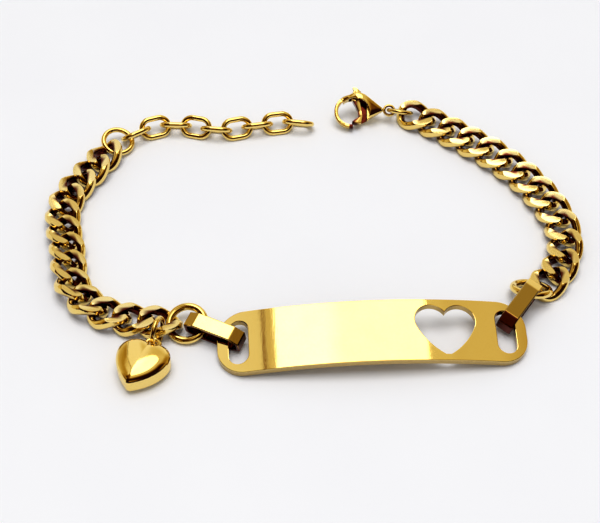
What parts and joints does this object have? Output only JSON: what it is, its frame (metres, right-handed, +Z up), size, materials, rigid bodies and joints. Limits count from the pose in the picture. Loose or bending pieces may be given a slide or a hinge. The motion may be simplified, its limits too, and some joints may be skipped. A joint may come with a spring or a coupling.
{
  "type": "id bracelet",
  "caption": "Gold-toned ID bracelet with a bowed blank name plate, heart cut-out, curb chains, extension chain, heart charm and lobster clasp.",
  "frame": {"origin": "middle of the whole bracelet's box, on the surface that it lies on", "axes": "+Z up; +X along the name plate to its heart cut-out end; -Y to the front, where the name plate lies"},
  "size_m": [0.0759, 0.0559, 0.005],
  "materials": {
    "gold": "polished gold plating on steel"
  },
  "bodies": {
    "bracelet": {"id_plate": "gold", "connector_left": "gold", "connector_right": "gold", "ring_left": "gold", "ring_right": "gold", "curb_left_01": "gold", "curb_left_02": "gold", "curb_left_03": "gold", "curb_left_04": "gold", "curb_left_05": "gold", "curb_left_06": "gold", "curb_left_07": "gold", "curb_left_08": "gold", "curb_left_09": "gold", "curb_left_10": "gold", "curb_left_11": "gold", "curb_left_12": "gold", "curb_left_13": "gold", "curb_right_01": "gold", "curb_right_02": "gold", "curb_right_03": "gold", "curb_right_04": "gold", "curb_right_05": "gold", "curb_right_06": "gold", "curb_right_07": "gold", "curb_right_08": "gold", "curb_right_09": "gold", "curb_right_10": "gold", "curb_right_11": "gold", "curb_right_12": "gold", "curb_right_13": "gold", "ring_extender": "gold", "extender_01": "gold", "extender_02": "gold", "extender_03": "gold", "extender_04": "gold", "extender_05": "gold", "extender_06": "gold", "extender_07": "gold", "extender_08": "gold", "extender_09": "gold", "ring_clasp": "gold", "clasp_body": "gold", "ring_charm": "gold", "heart_charm": "gold"},
    "clasp_lever": {"clasp_lever": "gold"}
  },
  "joints": [
    {"name": "clasp_lever_hinge", "type": "hinge", "parent": "bracelet", "child": "clasp_lever", "pos_m": [0.00677, 0.02637, 0.00325], "axis": [0, 0.5299, -0.848], "range_deg": [0, 18], "stiffness_Nm_per_rad": 0.00001, "springref_deg": -28.65}
  ]
}
